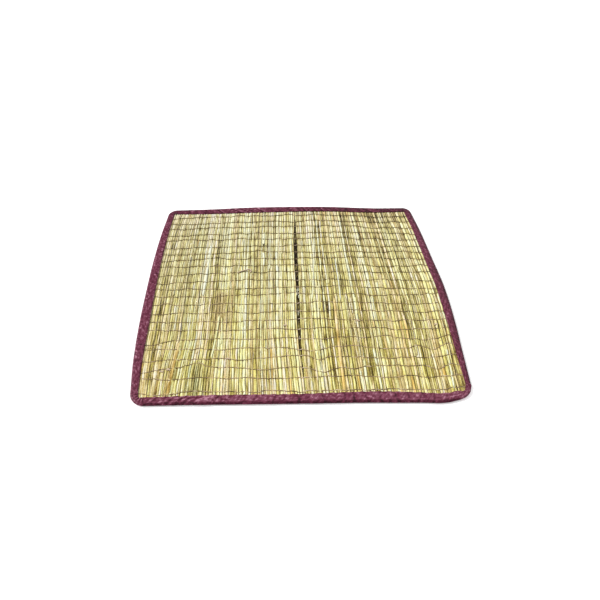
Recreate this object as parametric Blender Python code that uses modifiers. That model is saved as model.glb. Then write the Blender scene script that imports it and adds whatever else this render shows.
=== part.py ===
"""A kusa grass mat, 24 inches square, lying flat.

The mat is a panel of dry grass stalks, which run from front to back in bundles and are
held by rows of twine across them. A tape of satin cloth is folded over the panel's four
edges. The stalks have parted along a slit near the middle. Metres, Z up, Y towards the
back edge; the origin is on the floor under the middle of the mat's bounding box.

Both pieces are laid out in a straight rectangle with round corners, and then settled
into the mat's uneven outline.
"""

import math
import random

import bmesh
import bpy

# The straight rectangle, before its edges are drawn in
MAT_WIDTH = 0.6254  # across the stalks
MAT_DEPTH = 0.6108  # along the stalks

# How far each edge lies inside that rectangle, at seven even stations along it
LEFT_INSET = (0.0140, 0.0050, 0.0008, 0.0000, 0.0010, 0.0053, 0.0130)  # front to back
RIGHT_INSET = (0.0200, 0.0118, 0.0036, 0.0000, 0.0042, 0.0086, 0.0165)  # front to back
FRONT_INSET = (0.0030, 0.0035, 0.0028, 0.0022, 0.0018, 0.0000, 0.0025)  # left to right
BACK_INSET = (0.0200, 0.0145, 0.0050, 0.0007, 0.0003, 0.0052, 0.0030)  # left to right
SIDE_FADE = 4  # how fast a side's inset fades inwards, so that the stalks stay straight

# Corner radii, in the order in which the tape goes round
FRONT_RIGHT_RADIUS = 0.033
BACK_RIGHT_RADIUS = 0.020
BACK_LEFT_RADIUS = 0.022
FRONT_LEFT_RADIUS = 0.026
CORNER_STEPS = 6
CORNER_SQUARE = 8  # how nearly square the tape's lip turns a corner; 2 is round

# The bundles of stalks
BUNDLES_PER_HALF = 25  # on each side of the slit
BUNDLE_UNEVEN = 0.3  # how much their widths differ, as a share
BUNDLE_DRIFT = 0.0008  # how far a bundle strays sideways between two rows of twine
BUNDLE_RISE = 0.0006  # of a crest above the mean height, and of a valley below it
BUNDLE_RISE_RIM = 0.0003  # the same where the tape presses them
CREST_UNEVEN = 0.0002  # how much the crests differ in height
BUNDLE_SEED = 11

# The rows of twine, which draw the bundles in
TWINE_COUNT = 23
TWINE_FRONT = -0.279  # y of the first row, close to the front tape
TWINE_SECOND = -0.249  # y of the second row, where the even pitch starts
TWINE_PITCH = 0.0247
TWINE_UNEVEN = 0.0015  # how far a row lies from its even place
TWINE_DIP = 0.0003  # how far it sinks below the mean height, and they swell between rows
TWINE_SWAY = 0.0016  # a row's slow wander, and the length of one swing of it
TWINE_SWAY_LENGTH = 0.34
TWINE_RIPPLE = 0.0008  # its quick wander, and the length of one swing of it
TWINE_RIPPLE_LENGTH = 0.11
TWINE_STEP = 0.0014  # how far a row's two halves shift at the slit, each its own way
TWINE_STEP_REACH = 0.10
TWINE_SEED = 5

# The panel's section
PANEL_EDGE = 0.0036  # from the tape's outer face to the cut ends of the stalks
FIELD_TOP = 0.0047  # mean height of the stalks in the open field
RIM_BOTTOM = 0.00135  # the pressed rim, which lies inside the folded tape
RIM_TOP = 0.0039
RIM_END = 0.020  # distance from the edge at which the rim starts to swell
FIELD_START = 0.032  # distance from the edge at which it has its full height
CORNER_REACH = 0.060  # length over which a round corner shortens its stalks

# The slit, where the stalks have parted
SLIT_LINE = (-0.0010, -0.0044, -0.0015, 0.0012, 0.0062)  # sideways, front to back
SLIT_FIRST_ROW = 4  # it is open between these rows of twine, counted from the front
SLIT_LAST_ROW = 21
SLIT_HALF_WIDTH = 0.0025
SLIT_REACH = 0.10  # how far the stalks beside it follow its line
SLIT_PRESS = 0.018  # how far they are pushed aside by its width

# The satin tape, folded over the edge
TAPE_THICKNESS = 0.0010
TAPE_RISE = 0.0055  # middle of the cloth above the floor, on top of the rim
TAPE_TURN = 0.0025  # how deep the turn round the edge is
TURN_STEPS = 3
LEG_MIDDLE = 0.55  # where the upper leg crowns, as a share of the lip
LEG_CROWN = 0.0002
# Width of the upper leg at even stations, going round from the front left corner
FRONT_LIP = (0.0160, 0.0180, 0.0185, 0.0220, 0.0215)
RIGHT_LIP = (0.0110, 0.0160, 0.0180, 0.0175, 0.0180)
BACK_LIP = (0.0170, 0.0200, 0.0195, 0.0215, 0.0175)
LEFT_LIP = (0.0150, 0.0170, 0.0180, 0.0185, 0.0140)

# The puckers of the front and back tape
PUCKER_RISE = 0.00035
PUCKER_AT_LIP = 0.4  # share of the rise that is left at the stitched lip
PUCKER_AT_TURN = 0.8
PUCKER_PITCH = 0.019
PUCKER_SWING = 0.3  # how much the pitch varies, and over what length
PUCKER_SWING_LENGTH = 0.060
PUCKER_LEAN = 0.9  # how far a fold leans to the right for each step inwards
PUCKER_FADE = 0.020  # distance from a corner over which they start
CROSS_STEP = 0.0074  # stations along the puckered front and back
SIDE_STEP = 0.026  # stations along the smooth sides

GRASS_COLOUR = (0.60, 0.53, 0.24, 1.0)
GRASS_ROUGHNESS = 0.75
SATIN_COLOUR = (0.13, 0.026, 0.062, 1.0)
SATIN_ROUGHNESS = 0.45

FULL_TURN = 2 * math.pi
SAME_PLACE = 1e-6


def smooth_through(values, share):
    """A smooth curve through evenly spaced values, read at a share of its length."""
    spans = len(values) - 1
    place = min(max(share, 0.0), 1.0) * spans
    i = min(int(place), spans - 1)
    t = place - i
    before, here = values[max(i - 1, 0)], values[i]
    after, beyond = values[i + 1], values[min(i + 2, spans)]
    bend = 2 * before - 5 * here + 4 * after - beyond
    twist = 3 * (here - after) + beyond - before
    return here + 0.5 * t * (after - before + t * (bend + t * twist))


def ease(start, end, value):
    """0 before start, 1 after end, with a smooth rise between them."""
    t = min(max((value - start) / (end - start), 0.0), 1.0)
    return t * t * (3 - 2 * t)


def settle(x, y):
    """Where a point of the straight rectangle lies in the mat with its drawn-in edges."""
    across = x / MAT_WIDTH + 0.5
    along = y / MAT_DEPTH + 0.5
    from_left = (1 - across) ** SIDE_FADE * smooth_through(LEFT_INSET, along)
    from_right = across**SIDE_FADE * smooth_through(RIGHT_INSET, along)
    from_front = (1 - along) * smooth_through(FRONT_INSET, across)
    from_back = along * smooth_through(BACK_INSET, across)
    return x + from_left - from_right, y + from_front - from_back


def corner_radius(x, y):
    if y < 0:
        return FRONT_RIGHT_RADIUS if x > 0 else FRONT_LEFT_RADIUS
    return BACK_RIGHT_RADIUS if x > 0 else BACK_LEFT_RADIUS


def edge_distance(x, y):
    """Distance from a point to the edge of the round-cornered rectangle around it."""
    radius = corner_radius(x, y)
    dx = abs(x) - (MAT_WIDTH / 2 - radius)
    dy = abs(y) - (MAT_DEPTH / 2 - radius)
    if dx > 0 and dy > 0:
        return radius - math.hypot(dx, dy)
    return radius - max(dx, dy)


def shorten_at_corner(x, y):
    """The y of a point on the stalk at x, which a round corner cuts shorter."""
    radius = corner_radius(x, y) - PANEL_EDGE
    into_corner = max(abs(x) - (MAT_WIDTH / 2 - PANEL_EDGE - radius), 0.0)
    cut = radius - math.sqrt(max(radius**2 - into_corner**2, 0.0))
    reached = max(abs(y) - (MAT_DEPTH / 2 - PANEL_EDGE - CORNER_REACH), 0.0)
    return y - math.copysign(cut * reached / CORNER_REACH, y)


def bundle_columns(rng):
    """The x of the bundles' edges and crests in turn, from left to right."""
    half = MAT_WIDTH / 2 - PANEL_EDGE
    columns = [-half]
    for start in (-half, 0.0):
        shares = [1 + rng.uniform(-BUNDLE_UNEVEN, BUNDLE_UNEVEN) for _ in range(BUNDLES_PER_HALF)]
        done = 0.0
        for share in shares:
            crest, edge = done + share / 2, done + share
            columns += [start + half * crest / sum(shares), start + half * edge / sum(shares)]
            done = edge
    return columns


def twine_rows():
    """The rows of twine, front to back: y, the phases of the sway and the ripple, and the
    step at the slit."""
    rng = random.Random(TWINE_SEED)
    rows = []
    for k in range(TWINE_COUNT):
        y = TWINE_SECOND + (k - 1) * TWINE_PITCH if k else TWINE_FRONT
        y += rng.uniform(-TWINE_UNEVEN, TWINE_UNEVEN)
        sway, ripple = rng.uniform(0, FULL_TURN), rng.uniform(0, FULL_TURN)
        rows.append((y, sway, ripple, rng.uniform(-TWINE_STEP, TWINE_STEP)))
    return rows


def twine_y(row, x):
    """How a row of twine runs across the mat."""
    y, sway, ripple, step = row
    y += TWINE_SWAY * math.sin(FULL_TURN * x / TWINE_SWAY_LENGTH + sway)
    y += TWINE_RIPPLE * math.sin(FULL_TURN * x / TWINE_RIPPLE_LENGTH + ripple)
    side = (x > 0) - (x < 0)
    return y + side * step * math.exp(-abs(x) / TWINE_STEP_REACH)


def grid_rows(x, twine):
    """The panel's rows at x, front to back: y, and -1 on a row of twine, 1 where the
    stalks swell between two of them, or 0 in the rim."""
    end = MAT_DEPTH / 2 - PANEL_EDGE
    rim = MAT_DEPTH / 2 - RIM_END
    across = [twine_y(row, x) for row in twine]
    rows = [(-end, 0), (-rim, 0), (across[0], -1)]
    for y, following in zip(across, across[1:]):
        rows += [((y + following) / 2, 1), (following, -1)]
    return rows + [(rim, 0), (end, 0)]


def panel_top(mesh):
    """The upper side: a grid whose columns are the edges and crests of the bundles, and
    whose rows are those of the twine and the swells between them."""
    rng = random.Random(BUNDLE_SEED)
    columns = bundle_columns(rng)
    last_column = len(columns) - 1
    uneven = [rng.uniform(-CREST_UNEVEN, CREST_UNEVEN) for _ in columns]
    drift = [rng.uniform(-BUNDLE_DRIFT, BUNDLE_DRIFT) for _ in columns]
    drift[0] = drift[last_column // 2] = drift[last_column] = 0.0
    twine = twine_rows()
    last_row = len(grid_rows(0.0, twine)) - 1

    bmesh.ops.create_grid(mesh, x_segments=last_column, y_segments=last_row, size=0.5)
    for vert in mesh.verts:
        column = round((vert.co.x + 0.5) * last_column)
        row = round((vert.co.y + 0.5) * last_row)
        x = columns[column]
        y, swelling = grid_rows(x, twine)[row]
        y = shorten_at_corner(x, y)
        swell = ease(RIM_END, FIELD_START, edge_distance(x, y))
        rise = BUNDLE_RISE_RIM + swell * (BUNDLE_RISE - BUNDLE_RISE_RIM)
        lift = FIELD_TOP - RIM_TOP + uneven[column] + swelling * TWINE_DIP
        z = RIM_TOP + swell * lift + (rise if column % 2 else -rise)
        vert.co = (x + swelling * drift[column], y, z)
    return twine[SLIT_FIRST_ROW][0], twine[SLIT_LAST_ROW][0]


def open_slit(mesh, front, back):
    """Splits the grid along its middle line between two places and spreads it there."""

    def opening(y):
        share = (y - front) / (back - front)
        return math.sqrt(math.sin(math.pi * share)) if 0 < share < 1 else 0.0

    split = []
    for edge in mesh.edges:
        in_middle = all(abs(vert.co.x) < SAME_PLACE for vert in edge.verts)
        if in_middle and any(opening(vert.co.y) for vert in edge.verts):
            split.append(edge)
    bmesh.ops.split_edges(mesh, edges=split)

    for vert in mesh.verts:
        centres = [face.calc_center_median().x for face in vert.link_faces]
        side = (min(centres) > 0) - (max(centres) < 0)
        spread = opening(vert.co.y) * SLIT_HALF_WIDTH * math.exp(-abs(vert.co.x) / SLIT_PRESS)
        vert.co.x += side * spread


def extrude_border(mesh, edges):
    """Extrudes border edges and returns the new border's vertices and edges."""
    made = bmesh.ops.extrude_edge_only(mesh, edges=edges)["geom"]
    verts = [item for item in made if isinstance(item, bmesh.types.BMVert)]
    border = [item for item in made if isinstance(item, bmesh.types.BMEdge) and item.is_boundary]
    return verts, border


def add_underside(mesh):
    """Walls down from the cut ends and the slit, and rings for the pressed rim and its
    slope to the floor. Returns the edges that still border the open field."""
    borders = [edge for edge in mesh.edges if edge.is_boundary]
    round_slit = [edge for edge in borders if edge_distance(*edge.verts[0].co.xy) > FIELD_START]
    round_panel = [edge for edge in borders if edge not in round_slit]

    verts, open_edges = extrude_border(mesh, round_slit)
    for vert in verts:
        vert.co.z = 0.0

    ring, inset = round_panel, PANEL_EDGE
    for next_inset, height in ((PANEL_EDGE, RIM_BOTTOM), (RIM_END, RIM_BOTTOM), (FIELD_START, 0.0)):
        verts, ring = extrude_border(mesh, ring)
        for vert in verts:
            vert.co.x *= (MAT_WIDTH / 2 - next_inset) / (MAT_WIDTH / 2 - inset)
            vert.co.y *= (MAT_DEPTH / 2 - next_inset) / (MAT_DEPTH / 2 - inset)
            vert.co.z = height
        inset = next_inset
    return open_edges + ring


def grass_panel():
    """The panel of stalks: crests and valleys above, flat below, open along the slit."""
    mesh = bmesh.new()
    front, back = panel_top(mesh)
    open_slit(mesh, front, back)
    field_border = add_underside(mesh)
    for vert in mesh.verts:
        x, y = vert.co.xy
        follow = smooth_through(SLIT_LINE, y / MAT_DEPTH + 0.5) * math.exp(-((x / SLIT_REACH) ** 2))
        vert.co.xy = settle(x + follow, y)
    bmesh.ops.triangle_fill(mesh, edges=field_border, use_beauty=True)
    bmesh.ops.recalc_face_normals(mesh, faces=mesh.faces)
    return finished(mesh, "grass_panel")


def squareness(bend):
    """How much farther a nearly square corner reaches than a round one, at an angle."""
    reach = math.cos(bend) ** CORNER_SQUARE + math.sin(bend) ** CORNER_SQUARE
    return reach ** (1 / CORNER_SQUARE)


def tape_stations():
    """Points round the edge, going round from the front left: x, y, the outward
    direction, the width of the tape's lip there, and how much the cloth puckers."""
    right, back = MAT_WIDTH / 2, MAT_DEPTH / 2
    # facing, the side's start and end, lip widths, step, puckered, next corner's radius
    sides = (
        (
            -90, (-right + FRONT_LEFT_RADIUS, -back), (right - FRONT_RIGHT_RADIUS, -back),
            FRONT_LIP, CROSS_STEP, 1.0, FRONT_RIGHT_RADIUS,
        ),
        (
            0, (right, -back + FRONT_RIGHT_RADIUS), (right, back - BACK_RIGHT_RADIUS),
            RIGHT_LIP, SIDE_STEP, 0.0, BACK_RIGHT_RADIUS,
        ),
        (
            90, (right - BACK_RIGHT_RADIUS, back), (-right + BACK_LEFT_RADIUS, back),
            BACK_LIP, CROSS_STEP, 1.0, BACK_LEFT_RADIUS,
        ),
        (
            180, (-right, back - BACK_LEFT_RADIUS), (-right, -back + FRONT_LEFT_RADIUS),
            LEFT_LIP, SIDE_STEP, 0.0, FRONT_LEFT_RADIUS,
        ),
    )
    stations = []
    for i, (facing, start, end, lips, step, pucker, radius) in enumerate(sides):
        length = math.dist(start, end)
        count = round(length / step)
        out = (math.cos(math.radians(facing)), math.sin(math.radians(facing)))
        for k in range(count + 1):
            share = k / count
            x = start[0] + (end[0] - start[0]) * share
            y = start[1] + (end[1] - start[1]) * share
            fade = ease(0, PUCKER_FADE, min(share, 1 - share) * length)
            stations.append((x, y, out, smooth_through(lips, share), pucker * fade))
        next_lips = sides[(i + 1) % len(sides)][3]
        centre = (end[0] - out[0] * radius, end[1] - out[1] * radius)
        for k in range(1, CORNER_STEPS):
            bend = math.radians(90 * k / CORNER_STEPS)
            turn = math.radians(facing) + bend
            out_k = (math.cos(turn), math.sin(turn))
            lip = lips[-1] + (next_lips[0] - lips[-1]) * k / CORNER_STEPS
            lip = radius - (radius - lip) / squareness(bend)
            x, y = centre[0] + out_k[0] * radius, centre[1] + out_k[1] * radius
            stations.append((x, y, out_k, lip, 0.0))
    return stations


def tape_section(lip):
    """The folded cloth's middle line, from the upper lip round the edge to the lower one:
    distance in from the outer face, height, and share of a pucker's rise."""
    outermost = lowest = TAPE_THICKNESS / 2
    middle = (TAPE_RISE + lowest) / 2
    points = [(lip, TAPE_RISE, PUCKER_AT_LIP), (lip * LEG_MIDDLE, TAPE_RISE + LEG_CROWN, 1.0)]
    for k in range(TURN_STEPS + 1):
        angle = math.pi * (0.5 - k / TURN_STEPS)
        inset = outermost + TAPE_TURN * (1 - math.cos(angle))
        height = middle + (TAPE_RISE - middle) * math.sin(angle)
        points.append((inset, height, PUCKER_AT_TURN * max(math.sin(angle), 0.0)))
    return points + [(lip, lowest, 0.0)]


def pucker_height(x, inset):
    """Slanting folds along the edge, with a pitch that swings a little."""
    run = x - PUCKER_LEAN * inset
    swing = PUCKER_SWING * math.sin(FULL_TURN * run / PUCKER_SWING_LENGTH)
    return PUCKER_RISE * math.sin(FULL_TURN * (run / PUCKER_PITCH + swing))


def binding():
    """The tape: its section carried round the mat as a band, thickened by Solidify."""
    mesh = bmesh.new()
    rings = []
    for x, y, out, lip, pucker in tape_stations():
        ring = []
        for inset, height, share in tape_section(lip):
            px, py = settle(x - out[0] * inset, y - out[1] * inset)
            pz = height + pucker * share * pucker_height(x, inset)
            ring.append(mesh.verts.new((px, py, pz)))
        rings.append(ring)
    for ring, following in zip(rings, rings[1:] + rings[:1]):
        for a, b, c, d in zip(ring, ring[1:], following[1:], following):
            mesh.faces.new((a, b, c, d))
    bmesh.ops.recalc_face_normals(mesh, faces=mesh.faces)
    tape = finished(mesh, "binding")
    cloth = tape.modifiers.new("cloth", "SOLIDIFY")
    cloth.thickness = TAPE_THICKNESS
    cloth.offset = 0.0
    cloth.use_even_offset = True
    return tape


def finished(mesh, name):
    data = bpy.data.meshes.new(name)
    mesh.to_mesh(data)
    mesh.free()
    return bpy.data.objects.new(name, data)


def material(name, colour, roughness):
    made = bpy.data.materials.new(name)
    made.use_nodes = True
    shader = made.node_tree.nodes["Principled BSDF"]
    shader.inputs["Base Color"].default_value = colour
    shader.inputs["Roughness"].default_value = roughness
    shader.inputs["Metallic"].default_value = 0.0
    return made


def main():
    for old in list(bpy.data.objects):
        bpy.data.objects.remove(old)
    mat = bpy.data.collections.new("kusa_grass_mat")
    bpy.context.scene.collection.children.link(mat)
    panel = grass_panel()
    panel.data.materials.append(material("dry_grass", GRASS_COLOUR, GRASS_ROUGHNESS))
    tape = binding()
    tape.data.materials.append(material("satin_tape", SATIN_COLOUR, SATIN_ROUGHNESS))
    for piece in (panel, tape):
        mat.objects.link(piece)


main()
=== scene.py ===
import random

import bpy
import numpy as np
from mathutils import Matrix, Vector


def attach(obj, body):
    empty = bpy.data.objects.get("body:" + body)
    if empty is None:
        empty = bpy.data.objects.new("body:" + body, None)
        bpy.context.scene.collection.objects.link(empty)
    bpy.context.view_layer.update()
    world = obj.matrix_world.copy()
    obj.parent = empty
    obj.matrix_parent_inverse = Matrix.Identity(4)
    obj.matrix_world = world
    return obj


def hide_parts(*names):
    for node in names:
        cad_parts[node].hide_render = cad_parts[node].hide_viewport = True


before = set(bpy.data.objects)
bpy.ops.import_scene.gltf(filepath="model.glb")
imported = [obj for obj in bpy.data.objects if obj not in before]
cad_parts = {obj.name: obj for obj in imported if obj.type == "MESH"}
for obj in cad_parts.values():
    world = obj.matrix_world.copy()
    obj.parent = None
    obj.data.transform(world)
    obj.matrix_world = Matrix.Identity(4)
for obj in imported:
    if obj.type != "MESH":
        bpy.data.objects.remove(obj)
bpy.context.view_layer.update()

# Camera: held by hand above the front edge of the mat, looking down along the stalks,
# a little to the right and tilted a little.
CAMERA_PLACE = (-0.0744, -0.8907, 0.7736)
CAMERA_HEADING, CAMERA_DIP, CAMERA_ROLL = np.radians((5.118, 42.101, 3.124))
LENS_MM, SENSOR_MM = 33.6, 36.0

lens = bpy.data.cameras.new("camera")
lens.lens, lens.sensor_width = LENS_MM, SENSOR_MM
lens.clip_start, lens.clip_end = 0.01, 20.0
camera = bpy.data.objects.new("camera", lens)
camera.matrix_world = (
    Matrix.Translation(CAMERA_PLACE)
    @ Matrix.Rotation(-CAMERA_HEADING, 4, "Z")
    @ Matrix.Rotation(np.pi / 2 - CAMERA_DIP, 4, "X")
    @ Matrix.Rotation(CAMERA_ROLL, 4, "Z")
)
bpy.context.scene.collection.objects.link(camera)
bpy.context.scene.camera = camera

# Floor and light: a plain pale floor that glows a little, like a light table, so that it
# shows hardly a shadow; soft light from the left, across the stalks, a little from behind;
# and even light from all round.
FLOOR_REACH = 6.0
FLOOR_COLOUR, FLOOR_GLOW = (0.93, 0.93, 0.93, 1), 0.40
ROUND_LIGHT = 0.42
SOFT_LIGHTS = (
    # the way to it, strength, and how wide it looks in degrees
    ((-1.0, 0.42, 0.92), 2.8, 12.0),
    ((0.7, 0.9, 1.3), 0.5, 40.0),
)

scene = bpy.context.scene
scene.view_settings.view_transform = "Standard"


def new_finish(name, **values):
    """A material, its node tree and its shader. The values are the shader's sockets, with
    _ for each space."""
    finish = bpy.data.materials.new(name)
    finish.use_nodes = True
    shader = finish.node_tree.nodes["Principled BSDF"]
    for socket, value in values.items():
        shader.inputs[socket.replace("_", " ")].default_value = value
    return finish, finish.node_tree, shader


floor_mesh = bpy.data.meshes.new("floor")
floor_corners = [(x * FLOOR_REACH, y * FLOOR_REACH, 0) for x, y in ((-1, -1), (1, -1), (1, 1), (-1, 1))]
floor_mesh.from_pydata(floor_corners, [], [(0, 1, 2, 3)])
pale_floor, _, _ = new_finish(
    "pale_floor", Base_Color=FLOOR_COLOUR, Roughness=0.9,
    Emission_Color=(1, 1, 1, 1), Emission_Strength=FLOOR_GLOW,
)
floor_mesh.materials.append(pale_floor)
floor = bpy.data.objects.new("floor", floor_mesh)
scene.collection.objects.link(floor)

scene.world = bpy.data.worlds.new("even_light")
scene.world.use_nodes = True
scene.world.node_tree.nodes["Background"].inputs["Color"].default_value = (1, 1, 1, 1)
scene.world.node_tree.nodes["Background"].inputs["Strength"].default_value = ROUND_LIGHT
for way, strength, wide_degrees in SOFT_LIGHTS:
    lamp = bpy.data.lights.new("lamp", "SUN")
    lamp.energy, lamp.angle = strength, np.radians(wide_degrees)
    lamp_stand = bpy.data.objects.new("lamp", lamp)
    lamp_stand.location = way
    lamp_stand.rotation_euler = (-Vector(way)).to_track_quat("-Z", "Y").to_euler()
    scene.collection.objects.link(lamp_stand)

# The upper stalks: dried kusa grass, hollow stems and folded leaves two to five
# millimetres wide, laid side by side in bundles of one to three that the twine draws in.
# All are cut to one length, and the mat's corners are cut round.
MAT_WIDTH, MAT_DEPTH = 0.6254, 0.6108
LEFT_INSET = (0.0140, 0.0050, 0.0008, 0.0000, 0.0010, 0.0053, 0.0130)  # front to back
RIGHT_INSET = (0.0190, 0.0118, 0.0036, 0.0000, 0.0042, 0.0086, 0.0165)
FRONT_INSET = (0.0030, 0.0035, 0.0028, 0.0022, 0.0018, 0.0000, 0.0025)  # left to right
BACK_INSET = (0.0200, 0.0145, 0.0050, 0.0007, 0.0003, 0.0052, 0.0030)
SIDE_FADE = 4  # how fast a side's inset fades inwards, so that the stalks stay straight
# The front edge bulges before the right corner: x, reach and how far. It is drawn in at
# the corner: first x, last x and how far
EDGE_BULGE, CORNER_DRAW = (0.245, 0.025, 0.0024), (0.259, 0.293, 0.0038)
CORNER_RADII = ((0.026, 0.033), (0.022, 0.020))  # front left and right, back left and right
PANEL_EDGE = 0.0036  # from the tape's outer face to the cut ends
PANEL_SIDE, PANEL_END = MAT_WIDTH / 2 - PANEL_EDGE, MAT_DEPTH / 2 - PANEL_EDGE
CORNER_REACH = 0.060  # length over which a round corner shortens its stalks
RIM_BOTTOM, RIM_TOP, FIELD_TOP = 0.00135, 0.0039, 0.0047
RIM_END, FIELD_START = 0.020, 0.032  # distances from the edge
SLIT_LINE = (-0.0010, -0.0044, -0.0015, 0.0012, 0.0062)  # sideways, front to back
SLIT_FRONT, SLIT_BACK = -0.240, 0.285
SLIT_HALF_WIDTHS = (0.0, 0.0018, 0.0030, 0.0029, 0.0030, 0.0037, 0.0036, 0.0020, 0.0)
SLIT_REACH, SLIT_PRESS = 0.10, 0.018

# Where the stalks fan out at the front left: x, reach, first and last y, how far, and the
# length over which the fan dies away towards the side
FAN_X, FAN_REACH, FAN_START, FAN_END, FAN_SHIFT = -0.225, 0.075, -0.13, -0.30, 0.013
FAN_STOP = 0.06

TWINE_COUNT, TWINE_SEED = 23, 5
TWINE_FRONT, TWINE_SECOND, TWINE_PITCH = -0.279, -0.249, 0.0247
TWINE_UNEVEN, TWINE_STEP, TWINE_STEP_REACH = 0.0015, 0.0014, 0.10
TWINE_SWAY, TWINE_SWAY_LENGTH = 0.0016, 0.34
TWINE_RIPPLE, TWINE_RIPPLE_LENGTH = 0.0008, 0.11
TWINE_GRIP = 0.0036  # how far from a row of twine the stalks are drawn in
JOG_BACK, JOG_FRONT, JOG_KEEP = 0.0015, 0.0010, 0.60  # how a row strays from bundle to bundle
# Where a row was pushed out of line: its number from the front, x, reach and rise
ROW_BUMPS = (
    (0, -0.25, 0.035, -0.004), (0, -0.16, 0.02, -0.004), (0, -0.03, 0.05, 0.002),
    (1, -0.216, 0.03, -0.004), (1, 0.135, 0.03, -0.005), (1, 0.198, 0.012, 0.004),
    (2, -0.285, 0.025, -0.008), (2, -0.193, 0.016, 0.011), (2, -0.078, 0.034, -0.008),
    (2, 0.038, 0.018, -0.013), (2, 0.094, 0.014, -0.005), (2, 0.253, 0.016, -0.01),
    (3, -0.28, 0.03, -0.006), (3, -0.118, 0.018, -0.005), (3, 0.032, 0.014, -0.01),
    (4, -0.204, 0.008, -0.006), (4, 0.018, 0.026, -0.012), (4, 0.222, 0.012, 0.008),
    (4, 0.256, 0.012, -0.006), (4, 0.29, 0.014, 0.006), (5, -0.285, 0.028, -0.018),
    (5, -0.06, 0.04, -0.005), (5, 0.034, 0.03, -0.008), (5, 0.165, 0.03, 0.004),
    (5, 0.25, 0.02, -0.005), (6, 0.02, 0.028, -0.006), (14, -0.105, 0.014, 0.003),
    (18, -0.125, 0.018, 0.002),
)

BUNDLES_PER_HALF, BUNDLE_SEEDS, BUNDLE_UNEVEN, STALK_UNEVEN = 43, (3, 4), 0.42, 0.35
# A second and a third stalk in a bundle: the room it needs, and how much more makes it sure
MORE_STALKS = ((0.0035, 0.0055), (0.0080, 0.0060))
GROOVE = 0.0010  # between two bundles
UPPER_SIDES = 9
FLOOR_GAP = 0.00012  # what lies lower is pressed flat against the floor
UPPER_STEPS = (0.0, 0.11, 0.5, 0.89)  # stations from one row of twine to the next
DRAWN_TOGETHER = 0.10  # how far the twine draws a stalk to its bundle's middle
CREST, CREST_DIP, CREST_UNEVEN = 0.99, 0.18, 0.035  # shares of the mat's thickness
HALF_TALL, USUAL_WIDTH, TALL_POWER = 0.34, 0.0035, 0.35  # a wider stalk is taller, but less so
FULL_WIDE, HELD_NARROWER, UPPER_ROLL = 1.09, 0.12, 0.24
# How a stalk changes from one row of twine to the next: sideways, turned, in tone and cast
CELL_SHIFT, CELL_TWIST, CELL_SHADE, CELL_CAST = 0.00026, 0.11, 0.05, 0.07
# Painted shade on the stalks beside each row of twine, and more of it towards the back
TWINE_PAINTED_SHADE, TWINE_PAINTED_SHADE_BACK = 0.09, 0.15
TONE_LIMITS = (-0.17, 0.27)  # of a stalk's random tone
UNEVEN, UNEVEN_BACK, EVEN_FRONT_RIGHT = 0.92, 0.38, 0.24
# Waves across the mat: size, length and phase, and how much the phase shifts along it
TONE_WAVES, WAVE_SLANT = ((0.035, 0.083, 0.5), (0.040, 0.037, 2.1), (0.035, 0.0175, 4.0)), 3
RIGHT_DARKER, MIDDLE_REACH = 0.042, 0.12  # the left half is paler; less of both in the middle
CAST_RANGE, CAST_FRONT, CAST_RIGHT, CAST_LIMIT = (0.18, 0.82), 0.05, 0.02, 0.90
STAIN_FADE = 0.03
# Discoloured places: x, half width, front, back, tone and how fully, cast and how fully
STAINS = (
    (-0.188, 0.014, -0.33, -0.19, 0.45, 0.85, 0.0, 0.9),
    (-0.016, 0.006, 0.05, 0.33, 0.58, 0.85, 0.6, 0.9), (0.093, 0.012, -0.03, 0.1, 0.4, 0.85, 0.2, 0.9),
    (-0.16, 0.02, -0.15, 0.0, 0.42, 0.85, 0.85, 0.9), (0.038, 0.026, -0.34, 0.2, 0.6, 0.0, 0.5, 0.6),
)
# Broad patches: x, y, reach across and along, and what they add to tone and cast
PATCHES = (
    # The first patch darkens the straw by the back right tape: painted shade there, and browner straw
    (0.31, 0.31, 0.09, 0.09, -0.24, 0.12), (0.315, -0.05, 0.058, 0.6, -0.11, 0.2),
    (0.32, -0.23, 0.055, 0.12, -0.15, 0.12), (0.145, 0.283, 0.115, 0.024, -0.12, 0.04),
    (0.165, -0.3, 0.032, 0.022, 0.12, 0.0), (0.09, -0.13, 0.045, 0.1, -0.12, 0.0),
    (0.035, -0.2, 0.04, 0.1, -0.04, 0.0), (-0.035, -0.17, 0.04, 0.07, -0.08, 0.04),
    (-0.3, -0.23, 0.05, 0.16, -0.135, 0.04), (-0.29, -0.055, 0.035, 0.035, -0.06, 0.0),
    (-0.29, 0.18, 0.08, 0.15, -0.055, 0.0), (-0.185, 0.283, 0.042, 0.02, 0.15, -0.08),
    (-0.105, 0.12, 0.04, 0.1, -0.075, 0.02), (0.04, 0.13, 0.045, 0.12, 0.05, 0.0),
    (-0.12, -0.3, 0.22, 0.11, 0.0, 0.15), (0.0, 0.31, 0.4, 0.09, 0.0, 0.16),
)

# Straw from the shade to bleached white, and the casts that are laid over it
STRAW_TONES = (
    (0.0, (0.02, 0.01, 0.003)), (0.12, (0.092, 0.06, 0.009)), (0.3, (0.34, 0.257, 0.057)),
    (0.5, (0.66, 0.548, 0.215)), (0.72, (0.92, 0.825, 0.45)), (0.92, (1.0, 0.975, 0.83)),
)
STRAW_CASTS = (
    (0.0, (0.74, 0.86, 0.9)), (0.14, (0.95, 1.0, 0.93)), (0.32, (0.95, 1.0, 0.8)),
    (0.5, (0.98, 1.0, 0.6)), (0.66, (1.0, 0.985, 0.88)), (0.8, (1.0, 0.95, 0.94)),
    (0.92, (1.0, 0.89, 0.76)), (1.0, (1.0, 0.78, 0.4)),
)
FLECK_BROWN = (0.20, 0.11, 0.045, 1)
RING_BROWN = (0.34, 0.22, 0.09, 1)
BLEACHED = (0.86, 0.83, 0.69, 1)
BLEACH_AT_BACK, BLEACH_AT_LEFT, BLEACH_AT_RIGHT = 0.40, 1.5, 0.85
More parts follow.
